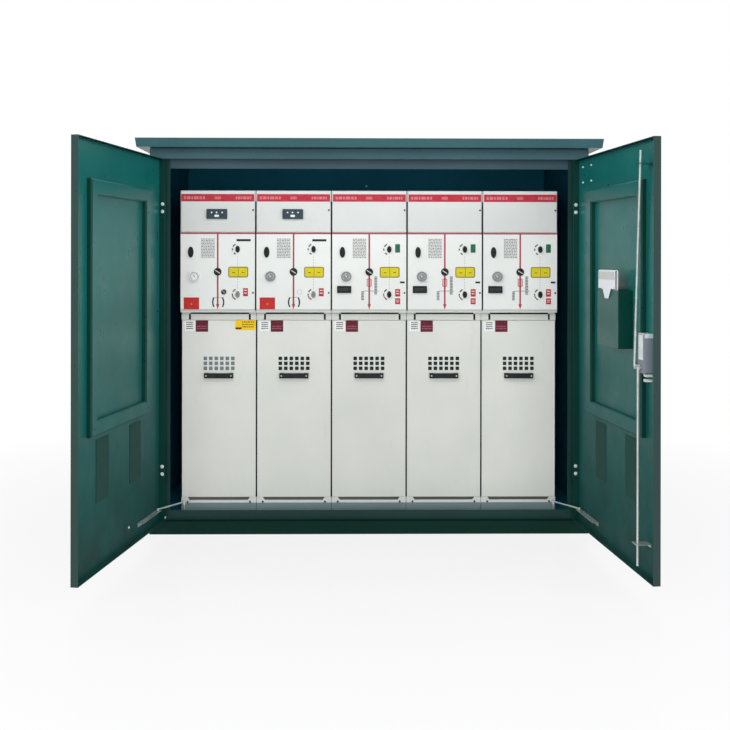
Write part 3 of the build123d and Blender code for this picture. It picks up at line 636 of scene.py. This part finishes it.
def dress_cubicles():
    coat_nodes(white_paint, "operation_panels", *cubicle_names)
    coat_nodes(upper_paint, "instrument_doors")
    for number, name in enumerate(cubicle_names, start=1):
        coat_nodes(cover_paint, f"lower_cover_{number}")
        low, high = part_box(f"lower_cover_{number}")
        notch_front = low.y + notch_inset * mm
        notch_back = low.y + cover_depth * mm
        coat_faces(name, cover_paint, lambda centre, normal: centre.z < high.z + cover_head * mm)
        # Painted shade on the back face of the kick notch.
        coat_faces(
            name,
            notch_shade_paint,
            lambda centre, normal: centre.z < notch_top * mm and notch_front < centre.y < notch_back - mm,
        )
    coat_nodes(plinth_paint, "plinths")
    coat_nodes(black_plastic, "cover_handles", "panel_latches", "operating_sockets", "panel_instruments")
    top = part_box(cubicle_names[0])[1].z
    lower_knobs = top - sum(knob_drops) / 2 * mm
    feeder_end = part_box(cubicle_names[len(feeder_cubicles)])[0].x
    coat_faces(
        "operating_sockets",
        grey_plastic,
        lambda centre, normal: centre.z < lower_knobs and centre.x < feeder_end,
    )
    lamps_foot = top - 2 * charge_area[1] * mm
    coat_faces("panel_instruments", slate_plastic, lambda centre, normal: centre.z > lamps_foot)
    for member, name in enumerate(cubicle_names):
        gauge = Vector((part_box(name)[0].x + gauge_across * mm, top - gauge_drop * mm))
        reach = gauge_reach_share * gauge_radius * mm
        coat_faces(
            "panel_instruments",
            grey_plastic if member else white_plastic,
            lambda centre, normal: (Vector((centre.x, centre.z)) - gauge).length < reach,
        )


def dress_fittings():
    coat_nodes(zinc, "stay_studs", "left_stay", "right_stay", "left_stay_rail", "right_stay_rail")
    coat_nodes(zinc, "lock_cam", "upper_rod", "lower_rod", "rod_guides")
    coat_faces("rod_guides", green, lambda centre, normal: centre.z > upper_guide_height * mm)
    coat_nodes(lock_grey, "lock_box")
    coat_nodes(black_plastic, "door_handle", "escutcheon")
    coat_nodes(pocket_paint, "document_pocket")
    # Painted shade on the pocket's faces that look towards the free edge.
    coat_faces("document_pocket", shade_green, looking(leaves["right"].first))
    coat_nodes(card_paper, "document_card")


def place_mesh(name, mesh, material):
    """Object in the scene, made from a mesh that is ready."""
    data = bpy.data.meshes.new(name)
    mesh.to_mesh(data)
    mesh.free()
    data.materials.append(material)
    thing = bpy.data.objects.new(name, data)
    scene.collection.objects.link(thing)
    return thing


class Kit:
    """Closed shapes collected in one mesh, which becomes a piece that rides on a body."""

    def __init__(self):
        self.mesh = bmesh.new()

    def skin(self, face, layers, ring=False):
        """Closed skin over layers of (outline, lift): its ends are capped or, for a ring, joined."""
        points, faces = self.mesh.verts, self.mesh.faces
        loops = [[points.new(face.point(a, b, lift)) for a, b in outline] for outline, lift in layers]
        for lower, upper in zip(loops, loops[1:] + loops[:1] if ring else loops[1:]):
            for index in range(len(lower)):
                after = (index + 1) % len(lower)
                faces.new((lower[index], lower[after], upper[after], upper[index]))
        if not ring:
            faces.new(reversed(loops[0]))
            faces.new(loops[-1])

    def prism(self, face, outline, low, high):
        """Closed prism over an outline, between two lifts."""
        self.skin(face, [(outline, low), (outline, high)])

    def frame(self, face, outer, inner, low, high):
        """Closed border between two outlines that have the same number of points."""
        self.skin(face, [(outer, low), (outer, high), (inner, high), (inner, low)], ring=True)

    def turned(self, face, centre, profile, sides, spin=0.0):
        """Closed turned shape about a point of the face, from a profile of (radius, lift)."""
        self.skin(face, [(circle(*centre, radius, sides, spin), lift) for radius, lift in profile])

    def disc(self, face, centre, radius, low, high, sides):
        """Flat round plate between two lifts."""
        self.turned(face, centre, [(radius, low), (radius, high)], sides)

    def bolt(self, face, centre, radius, lift=0.0):
        """Hexagon bolt head with its chamfer, on a plain washer."""
        low = lift + washer_share * radius
        head = head_share * radius
        self.disc(face, centre, washer_reach * radius, lift, low, washer_sides)
        profile = [(radius, low), (radius, low + chamfer_start * head), (chamfer_reach * radius, low + head)]
        self.turned(face, centre, profile, hexagon_sides, bolt_spin)

    def screw(self, face, centre, radius, lift=0.0):
        """Domed screw head."""
        profile = [(across * radius, lift + up * radius) for across, up in screw_dome]
        self.turned(face, centre, profile, screw_sides)

    def piece(self, name, material, slot="cubicle_paint", body="housing"):
        bmesh.ops.recalc_face_normals(self.mesh, faces=self.mesh.faces)
        thing = place_mesh(name, self.mesh, material)
        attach(thing, body)


def circle(a, b, radius, sides, spin=0.0):
    steps = [spin + 2 * math.pi * step / sides for step in range(sides)]
    return [(a + radius * math.cos(turn), b + radius * math.sin(turn)) for turn in steps]


def rectangle(left, top, width, height, rounding=0.0):
    """Outline from a corner, with its corners rounded in a few steps where a rounding is given."""
    if not rounding:
        return [(left, top), (left + width, top), (left + width, top + height), (left, top + height)]
    corners = [(left + width, top + height), (left, top + height), (left, top), (left + width, top)]
    outline = []
    for quarter, (a, b) in enumerate(corners):
        middle_a = a - rounding if a > left else a + rounding
        middle_b = b - rounding if b > top else b + rounding
        for step in range(corner_steps + 1):
            turn = math.pi / 2 * (quarter + step / corner_steps)
            outline.append((middle_a + rounding * math.cos(turn), middle_b + rounding * math.sin(turn)))
    return outline


def stroke(start, end, width):
    """Outline of a straight line of a given width."""
    along = Vector((end[0] - start[0], end[1] - start[1])).normalized()
    side = Vector((-along.y, along.x)) * width / 2
    ends = [Vector(start) + side, Vector(start) - side, Vector(end) - side, Vector(end) + side]
    return [tuple(end) for end in ends]


def arc_band(a, b, radius, width, first, last, steps=8):
    """Outline of a stretch of a ring, between two angles in degrees."""
    turns = [math.radians(first + (last - first) * step / steps) for step in range(steps + 1)]
    outer, inner = [
        [(a + reach * math.cos(turn), b + reach * math.sin(turn)) for turn in turns]
        for reach in (radius + width / 2, radius - width / 2)
    ]
    return outer + inner[::-1]


def front_faces():
    """The operation face and the cover face of each cubicle, set out from its upper left corner."""
    faces = []
    for number, name in enumerate(cubicle_names, start=1):
        low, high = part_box(name)
        left = (low.x + high.x) / 2 - cubicle_pitch / 2 * mm
        panels = ("operation_panels", f"lower_cover_{number}")
        corners = [(left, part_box(panel)[0].y, high.z) for panel in panels]
        faces.append([Face(corner, (1, 0, 0), (0, 0, -1), (0, -1, 0)) for corner in corners])
    return faces


fronts = front_faces()


def print_on(name, material, draw, members=range(len(cubicle_names)), lift=0.0, cover=False):
    """One printed piece for the whole row: draw(kit, face, lift) is called on each cubicle's front."""
    kit = Kit()
    for member in members:
        draw(kit, fronts[member][1 if cover else 0], lift)
    kit.piece(name, material)


def patch(kit, face, area, lift, rounding=0.0, thickness=print_lift):
    """Plain rectangle of print or foil; the area is (left, top, width, height)."""
    kit.prism(face, rectangle(*area, rounding), lift, lift + thickness)


def patches(*areas, rounding=0.0, thickness=plate_lift):
    """Drawing of plain plates."""
    def draw(kit, face, lift):
        for area in areas:
            patch(kit, face, area, lift, rounding, thickness)
    return draw


def flat(*areas):
    """Drawing of plain areas of print."""
    return patches(*areas, thickness=print_lift)


def dashes(kit, face, area, rows, lift, fill_share):
    """Rows of plain dashes of changing length that fill an area."""
    left, top, width, height = area
    pitch = height / rows
    for row in range(rows):
        along = 0.0
        step = row
        while along < width:
            length = min(dash_shares[step % len(dash_shares)] * width, width - along)
            patch(kit, face, (left + along, top + row * pitch, length, pitch * fill_share), lift)
            along += length + dash_gap_share * width
            step += 1


def dashed(*areas, rows, fill_share=0.5):
    """Drawing of the same rows of dashes in each area."""
    def draw(kit, face, lift):
        for area in areas:
            dashes(kit, face, area, rows, lift, fill_share)
    return draw


def build_mimic():
    """Red bands and the single-line diagram on every front."""
    band_area = (edge_margin, band_top, cubicle_pitch - 2 * edge_margin, band_height)
    joint_area = (joint_margin, joint_line_drop, cubicle_pitch - 2 * joint_margin, joint_line_width)
    print_on("red_bands", red_print, flat(band_area))
    print_on("joint_lines", dark_red_print, flat(joint_area))

    def single_line(kit, face, lift):
        foot = mimic_tip - arrow_length
        start = joint_line_drop + joint_line_width
        patch(kit, face, (mimic_across - mimic_width / 2, start, mimic_width, foot - start), lift)
        half = arrow_width / 2
        arrow = [(mimic_across - half, foot), (mimic_across, mimic_tip), (mimic_across + half, foot)]
        kit.prism(face, arrow, lift, lift + print_lift)

    def fuse(kit, face, lift):
        left, top, width, height = fuse_area
        inside = (left + fuse_line, top + fuse_line, width - 2 * fuse_line, height - 2 * fuse_line)
        outer = rectangle(*fuse_area, fuse_round)
        kit.frame(face, outer, rectangle(*inside, fuse_round / 2), lift, lift + print_lift)

    print_on("band_marks", rose_print, dashed(*band_runs, rows=1, fill_share=1.0), lift=print_lift)
    print_on("mimic_lines", dark_red_print, single_line)
    print_on("fuse_boxes", dark_red_print, fuse, fuse_cubicles)


def build_panel_prints():
    """Plates and printed marks on the operation panels."""

    def yellow_rim(kit, face, lift):
        left, top, width, height = yellow_label
        edge = label_border
        inner = rectangle(left + edge, top + edge, width - 2 * edge, height - 2 * edge, label_round - edge)
        kit.frame(face, rectangle(*yellow_label, label_round), inner, lift, lift + print_lift)
        split = edge / 2
        patch(kit, face, (left + (width - split) / 2, top + edge, split, height - 2 * edge), lift)
        for share in label_mark_shares:
            patch(kit, face, (left + share * width, top + height / 2, label_mark_borders * edge, edge), lift)

    def link(kit, face, lift):
        for first, last in link_runs:
            for along in range(first, last, 2 * link_dash):
                patch(kit, face, (knob_across - link_width / 2, along, link_width, link_dash), lift)

    def scales(drops, arcs):
        def draw(kit, face, lift):
            for drop in drops:
                for arc in arcs:
                    band = arc_band(knob_across, drop, scale_radius, scale_width, *arc)
                    kit.prism(face, band, lift, lift + print_lift)
        return draw

    def slash(kit, face, lift):
        reach, rise = slash_half
        ends = (mimic_across - reach, disc_drop + rise), (mimic_across + reach, disc_drop - rise)
        kit.prism(face, stroke(*ends, slash_width), lift, lift + print_lift)

    def earth_bracket(kit, face, lift):
        left, top, width, height = bracket_area
        for middle, first in zip((left + height, left + width - height), bracket_starts):
            band = arc_band(middle, top + height / 2, height, bracket_line, first, first + bracket_sweep)
            kit.prism(face, band, lift, lift + print_lift)

    def tee_marks(kit, face, lift):
        for area in tee_columns:
            dashes(kit, face, area, round(area[-1] / tee_row_pitch), lift, tee_row_share)

    def tag_marks(*tags):
        inner = []
        for left, top, width, height in tags:
            corner = (left + tag_margin[0], top + tag_margin[1])
            inner.append(corner + (width - tag_inset[0], height - tag_inset[1]))
        return dashed(*inner, rows=tag_rows, fill_share=tag_row_share)

    print_on("text_plates", text_print, patches(text_plate))
    print_on("text_marks", text_ink, dashed(text_marks, rows=text_row_count), lift=plate_lift)
    print_on("yellow_labels", yellow_print, patches(yellow_label, rounding=label_round))
    print_on("label_rims", olive_print, yellow_rim, lift=plate_lift)
    print_on("link_lines", line_print, link)
    print_on("knob_scales", black_print, scales(knob_drops, scale_arcs))
    print_on("knob_red_scales", red_print, scales(knob_drops[1:], [red_arc]))
    print_on("disc_slashes", pale_grey_print, slash, lift=disc_height)
    print_on("fuse_fills", pink_print, flat(*fuse_fills), fuse_cubicles)
    print_on("earth_brackets", line_print, flat(bracket_top), feeder_cubicles)
    print_on("earth_legs", black_print, earth_bracket, feeder_cubicles)
    print_on("bar_marks", black_print, patches(feeder_bar), feeder_cubicles)
    print_on("red_tags", red_print, patches(feeder_tag), feeder_cubicles)
    print_on("red_tag_marks", white_print, tag_marks(feeder_tag), feeder_cubicles, plate_lift)
    print_on("red_plates", red_plate, patches(feeder_plate), feeder_cubicles)
    print_on("tee_bars", line_print, flat(tee_bar), fuse_cubicles)
    print_on("tee_marks", black_print, tee_marks, fuse_cubicles)
    print_on("fuse_bars", black_print, patches(fuse_bar), fuse_cubicles)
    print_on("green_tags", green_print, patches(fuse_green_tag), fuse_cubicles)
    print_on("fuse_tags", red_print, patches(*fuse_red_tags), fuse_cubicles)
    print_on("fuse_tag_marks", white_print, tag_marks(*fuse_red_tags), fuse_cubicles, plate_lift)


def build_panel_fittings():
    """Dials, lamps, counter wheels and small locks that stand on the panels' devices."""
    faces, faces_grey, ticks, pale_ticks = Kit(), Kit(), Kit(), Kit()
    lamps, wheels, dots, locks, discs, slashes, rings = Kit(), Kit(), Kit(), Kit(), Kit(), Kit(), Kit()
    for member, (front, _) in enumerate(fronts):
        place = (gauge_across, gauge_drop)
        dial, marks = (faces_grey, pale_ticks) if member else (faces, ticks)
        top = gauge_face + dial_metal
        dial.disc(front, place, gauge_radius, gauge_face, top, dial_sides)
        for step in range(dial_ticks):
            turn = math.radians(dial_first + step * dial_step)
            way = Vector((math.cos(turn), math.sin(turn)))
            ends = [tuple(Vector(place) + way * radius) for radius in tick_radii]
            marks.prism(front, stroke(*ends, tick_width), top, top + print_lift)
        tip = tuple(Vector(place) + Vector(pointer_tip))
        marks.prism(front, stroke(place, tip, 2 * tick_width), top, top + pointer_metal)
        marks.turned(front, place, [(radius, top + lift) for radius, lift in hub_profile], turned_sides)
        if member == 0:
            rim, outer = [circle(*place, radius, dial_sides) for radius in gauge_rim]
            ticks.frame(front, outer, rim, gauge_face, gauge_face + gauge_rim_lift)
        for drop in lock_drops:
            locks.turned(front, (lock_across, drop), lock_profile, screw_sides)
        if member in feeder_cubicles:
            left, top, width, height = charge_area
            for share in lamp_shares:
                profile = [(radius, charge_metal + lift) for radius, lift in lamp_profile]
                lamp = (left + share * width, top + lamp_drop_share * height)
                lamps.turned(front, lamp, profile, turned_sides)
            corner = (left + (width - button_size[0]) / 2, top + button_drop_share * height)
            button = rectangle(*corner, *button_size, button_round)
            lamps.prism(front, button, charge_metal, charge_metal + button_metal)
            dots.disc(front, plate_dot, dot_radius, plate_lift, plate_lift + print_lift, dot_sides)
            if member:
                inner, outer = [circle(*small_disc, radius, small_sides) for radius in small_ring]
                rings.frame(front, outer, inner, 0, print_lift)
                continue
            discs.disc(front, small_disc, small_disc_radius, 0, disc_height, small_sides)
            for offset in small_slash_offsets:
                ends = [(small_disc[0] + a + offset, small_disc[1] + b) for a, b in small_slash]
                slashes.prism(front, stroke(*ends, small_slash_width), disc_height, disc_height + print_lift)
        else:
            left, top, width, height = counter_window
            pitch = width / counter_wheels
            side, end = wheel_margin
            for wheel in range(counter_wheels):
                area = (left + wheel * pitch + side, top + end, pitch - 2 * side, height - 2 * end)
                wheels.prism(front, rectangle(*area, wheel_round), counter_floor, counter_floor + wheel_metal)
    faces.piece("dial_white", white_plastic, "instrument_plastic")
    faces_grey.piece("dials_grey", grey_plastic, "instrument_plastic")
    ticks.piece("dial_marks", text_ink, "instrument_plastic")
    pale_ticks.piece("dial_pale_marks", white_print, "instrument_plastic")
    lamps.piece("charge_lamps", white_plastic, "instrument_plastic")
    wheels.piece("counter_wheels", wheel_plastic, "instrument_plastic")
    dots.piece("plate_dots", rose_print)
    locks.piece("panel_locks", black_plastic, "black_plastic")
    discs.piece("small_disc", black_plastic, "instrument_plastic")
    slashes.piece("small_disc_slashes", pale_grey_print)
    rings.piece("small_ring", line_print)


def build_cover_fittings():
    """Plates, screws and gauze on and round the lower covers, and black strips of painted shade in the recess
    above each cover, in its slots and in the seams between covers and between the panels above.
    """
    print_on("cover_white_plates", white_print, patches(white_plate), cover=True)
    white_text = dashed(white_marks, rows=white_rows)
    print_on("cover_white_marks", black_print, white_text, lift=plate_lift, cover=True)
    print_on("cover_red_plates", dark_red_plate, patches(maroon_plate), cover=True)
    maroon_text = dashed(maroon_marks, rows=maroon_rows)
    print_on("cover_red_marks", maroon_print, maroon_text, lift=plate_lift, cover=True)
    print_on("cover_yellow_plate", amber_plate, patches(amber_area), amber_cubicles, cover=True)
    amber_text = dashed(amber_marks, rows=amber_rows)
    print_on("cover_yellow_marks", olive_print, amber_text, amber_cubicles, plate_lift, cover=True)
    print_on("cover_dark_mark", black_print, flat(amber_bar), amber_cubicles, plate_lift, cover=True)

    shade_strips, screws, bolts, clips = Kit(), Kit(), Kit(), Kit()
    light_gauze, dark_gauze = Kit(), Kit()
    for member, (front, cover) in enumerate(fronts):
        # Painted shade: black strips in the recess above the cover, in its slots and in the seams.
        shade_strips.prism(cover, rectangle(*recess_shade_area), -cover_depth, recess_shade_stand)
        for area in slot_areas:
            shade_strips.prism(cover, rectangle(*area), -cover_depth, -slot_inset)
        if member:
            shade_strips.prism(cover, rectangle(*seam_area), -cover_depth, -seam_inset)
            shade_strips.prism(front, rectangle(*panel_seam), *panel_seam_lifts)
        for offset in (-grip_screw_half, grip_screw_half):
            screws.screw(cover, (mimic_across + offset, grip_drop), grip_screw_radius, grip_stand)
        for across in kick_bolts_across:
            bolts.screw(cover, (across, kick_bolt_drop), kick_bolt_radius)
        clips.prism(cover, clip_outline, 0, clip_metal)
        gauze_kit = dark_gauze if member else light_gauze
        gauze_kit.prism(cover, rectangle(*gauze_area), -gauze_depth - gauze_metal, -gauze_depth)
    shade_strips.piece("cover_shade_strips", shade_black, "black_plastic")
    screws.piece("grip_screws", zinc, "zinc")
    bolts.piece("kick_bolts", dark_zinc, "zinc")
    clips.piece("rail_clips", white_plastic)
    light_gauze.piece("vent_gauze", vent_gauze_grey, "black_plastic")
    dark_gauze.piece("vent_gauzes", vent_gauze_dark, "black_plastic")


def build_door_fittings():
    """Bolts of both leaves, and the lock's bright plates on the right one."""
    for side, leaf in leaves.items():
        bolts = Kit()
        edge = Face(leaf.point(leaf_return, 0, 0), leaf.out, leaf.second, leaf.first)
        for height in hinge_heights:
            for offset in (-hinge_bolt_half, hinge_bolt_half):
                bolts.bolt(edge, (hinge_bolt_depth, height + offset), hinge_bolt_radius)
        for place in skin_bolts[side]:
            bolts.bolt(leaf, place, small_bolt_radius, leaf_skin)
        bolts.piece(f"{side}_door_bolts", bright_zinc, "zinc", f"{side}_door")
        screws = Kit()
        for place in stiffener_screws:
            screws.screw(leaf, place, small_bolt_radius, stiffener_top)
        screws.piece(f"{side}_stiffener_screws", leaf_green, "housing_paint", f"{side}_door")

    lock = Kit()
    leaf = leaves["right"]
    for area, low, high in lock_plates:
        lock.prism(leaf, rectangle(*area), low, high)
    lock.piece("lock_plates", bright_zinc, "zinc", "right_door")
    band = Kit()
    corners = nodes["document_card"].data.vertices
    reach = max(leaf.out.dot(corner.co - leaf.origin) for corner in corners) / mm
    band.prism(leaf, rectangle(*card_band), reach, reach + print_lift)
    band.piece("card_band", pale_grey_print, "card", "right_door")


def build_frame_fittings():
    """Bolts on the jamb and the back wall, a flat plug in the base, and plates in the ends of the frieze."""
    lip, base, wall = [
        Face((0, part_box(name)[0].y, 0), (1, 0, 0), (0, 0, 1), (0, -1, 0))
        for name in ("sill", "base_frame", "back_wall")
    ]
    bolts, plug = Kit(), Kit()
    bolts.bolt(lip, jamb_bolt, small_bolt_radius)
    bolts.bolt(wall, wall_bolt, small_bolt_radius)
    bolts.piece("frame_bolts", bright_zinc, "zinc")
    plug.turned(base, base_plug, plug_profile, plug_sides)
    # The plug takes the base's darker green: painted shade.
    plug.piece("base_plug", base_shade_green, "housing_paint")

    ends = Kit()
    low, high = (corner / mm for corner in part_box("frieze"))
    depth, height = high.y - low.y - frieze_sheet, high.z - low.z - 2 * frieze_sheet
    inside = rectangle(low.y + frieze_sheet, low.z + frieze_sheet, depth, height)
    for way, edge in ((-1, low.x), (1, high.x)):
        side = Face((edge * mm, 0, 0), (0, 1, 0), (0, 0, 1), (way, 0, 0))
        ends.prism(side, inside, -frieze_sheet, 0)
    ends.piece("frieze_ends", frieze_green, "housing_paint")


dress_housing()
dress_cubicles()
dress_fittings()
build_mimic()
build_panel_prints()
build_panel_fittings()
build_cover_fittings()
build_door_fittings()
build_frame_fittings()


def light_path(tree):
    """One for rays from the camera, and for those seen in gloss or through glass."""
    path = tree.nodes.new("ShaderNodeLightPath")
    seen = path.outputs["Is Camera Ray"]
    for name in ("Is Glossy Ray", "Is Transmission Ray"):
        either = tree.nodes.new("ShaderNodeMath")
        either.operation = "MAXIMUM"
        tree.links.new(seen, either.inputs[0])
        tree.links.new(path.outputs[name], either.inputs[1])
        seen = either.outputs[0]
    return seen


def floor_material():
    """Pale floor with a faint gloss, which fades to white with the distance from the object."""
    finish = Finish("studio_floor", floor_roughness)
    tree = finish.material.node_tree
    tone = finish.mix(finish.noise(floor_mottle_scale), floor_pale, floor_light)
    ground = finish.put("ShaderNodeBsdfDiffuse", {"Color": tone})
    gloss = finish.put("ShaderNodeBsdfGlossy", {"Color": (1, 1, 1, 1), "Roughness": floor_roughness})
    both = {0: floor_gloss_share, 1: ground.outputs[0], 2: gloss.outputs[0]}
    soft = finish.put("ShaderNodeMixShader", both)
    white = finish.put("ShaderNodeEmission", {"Color": (1, 1, 1, 1), "Strength": 1.0})
    away = finish.put("ShaderNodeVectorMath", {0: finish.place}, operation="LENGTH").outputs["Value"]
    share = finish.spread(away, floor_near, floor_far, floor_white_share, 1.0)
    seen = finish.calc("MULTIPLY", light_path(tree), share)
    shown = finish.put("ShaderNodeMixShader", {0: seen, 1: soft.outputs[0], 2: white.outputs[0]})
    tree.links.new(shown.outputs[0], finish.nodes["Material Output"].inputs["Surface"])
    finish.nodes.remove(finish.shader)
    return finish.material


def build_studio():
    """Pale floor, white surroundings and soft light from in front, from the sides and from behind."""
    floor_mesh = bmesh.new()
    bmesh.ops.create_grid(floor_mesh, x_segments=floor_cells, y_segments=floor_cells, size=floor_half)
    floor = place_mesh("studio_floor", floor_mesh, floor_material())

    world = bpy.data.worlds.new("studio")
    scene.world = world
    world.use_nodes = True
    tree = world.node_tree
    background = tree.nodes["Background"]
    background.inputs["Color"].default_value = (1, 1, 1, 1)
    level = tree.nodes.new("ShaderNodeMapRange")
    level.inputs["To Min"].default_value = world_light
    level.inputs["To Max"].default_value = 1.0
    tree.links.new(light_path(tree), level.inputs["Value"])
    tree.links.new(level.outputs[0], background.inputs["Strength"])

    for name, place, target, width, height, power in studio_lamps:
        lamp = bpy.data.lights.new(name, "AREA")
        lamp.shape = "RECTANGLE"
        lamp.size = width
        lamp.size_y = height
        lamp.energy = power
        holder = bpy.data.objects.new(name, lamp)
        holder.location = place
        aim = Vector(target) - Vector(place)
        holder.rotation_euler = aim.to_track_quat("-Z", "Y").to_euler()
        holder.visible_glossy = False
        scene.collection.objects.link(holder)


def build_camera():
    data = bpy.data.cameras.new("photo_camera")
    data.sensor_width = camera_sensor
    data.lens = camera_lens
    data.shift_y = camera_shift
    camera = bpy.data.objects.new("photo_camera", data)
    camera.location = camera_place
    turns = (camera_level, -camera_roll, -camera_turn)
    camera.rotation_euler = [math.radians(turn) for turn in turns]
    scene.collection.objects.link(camera)
    scene.camera = camera


build_studio()
build_camera()
scene.view_settings.view_transform = "Standard"
